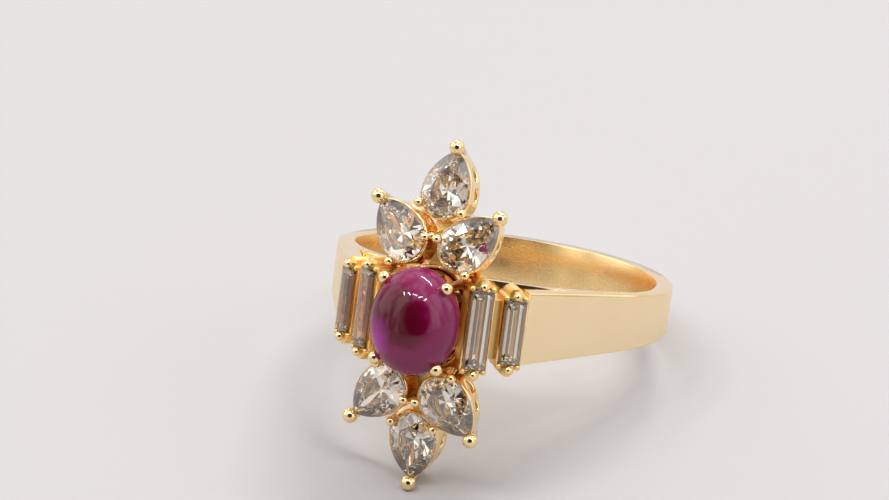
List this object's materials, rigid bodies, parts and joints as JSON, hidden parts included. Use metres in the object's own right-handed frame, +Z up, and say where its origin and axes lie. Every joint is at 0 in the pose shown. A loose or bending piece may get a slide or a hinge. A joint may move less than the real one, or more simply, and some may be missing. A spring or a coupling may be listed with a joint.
{
  "type": "cocktail ring",
  "caption": "Cocktail ring with an oval cabochon between two fans of pear-cut stones, stepped baguettes and a tapering satin band.",
  "frame": {"origin": "centre of the finger hole, on its axis, midway across the band", "axes": "+Z up with the ring lying on a table on its lowest bead and the back edge of the band; the head faces -Y and the finger hole's axis leans toward +Y from +Z by about 22 degrees; +X to the right of someone who looks at the head"},
  "size_m": [0.019, 0.0245, 0.0181],
  "materials": {
    "satin_gold": "satin",
    "polished_gold": "polished",
    "diamond": "polished",
    "ruby": "polished"
  },
  "bodies": {
    "root": {"shank": "satin_gold", "finger_rail": "polished_gold", "gallery_spine": "polished_gold", "upper_cheeks": "polished_gold", "lower_cheeks": "polished_gold", "ruby": "ruby", "ruby_seat_rail": "polished_gold", "ruby_base_rail": "polished_gold", "ruby_prongs": "polished_gold", "upper_grain_post": "polished_gold", "top_pear": "diamond", "top_pear_collet": "polished_gold", "top_pear_prongs": "polished_gold", "upper_left_pear": "diamond", "upper_left_pear_collet": "polished_gold", "upper_left_pear_prongs": "polished_gold", "upper_right_pear": "diamond", "upper_right_pear_collet": "polished_gold", "upper_right_pear_prongs": "polished_gold", "lower_left_pear": "diamond", "lower_left_pear_collet": "polished_gold", "lower_left_pear_prongs": "polished_gold", "lower_right_pear": "diamond", "lower_right_pear_collet": "polished_gold", "lower_right_pear_prongs": "polished_gold", "bottom_pear": "diamond", "bottom_pear_collet": "polished_gold", "bottom_pear_prongs": "polished_gold", "left_bridge": "polished_gold", "right_bridge": "polished_gold", "inner_left_baguette": "diamond", "inner_left_frame": "polished_gold", "inner_left_prongs": "polished_gold", "inner_right_baguette": "diamond", "inner_right_frame": "polished_gold", "inner_right_prongs": "polished_gold", "outer_left_baguette": "diamond", "outer_left_frame": "polished_gold", "outer_left_prongs": "polished_gold", "outer_right_baguette": "diamond", "outer_right_frame": "polished_gold", "outer_right_prongs": "polished_gold"}
  },
  "joints": []
}
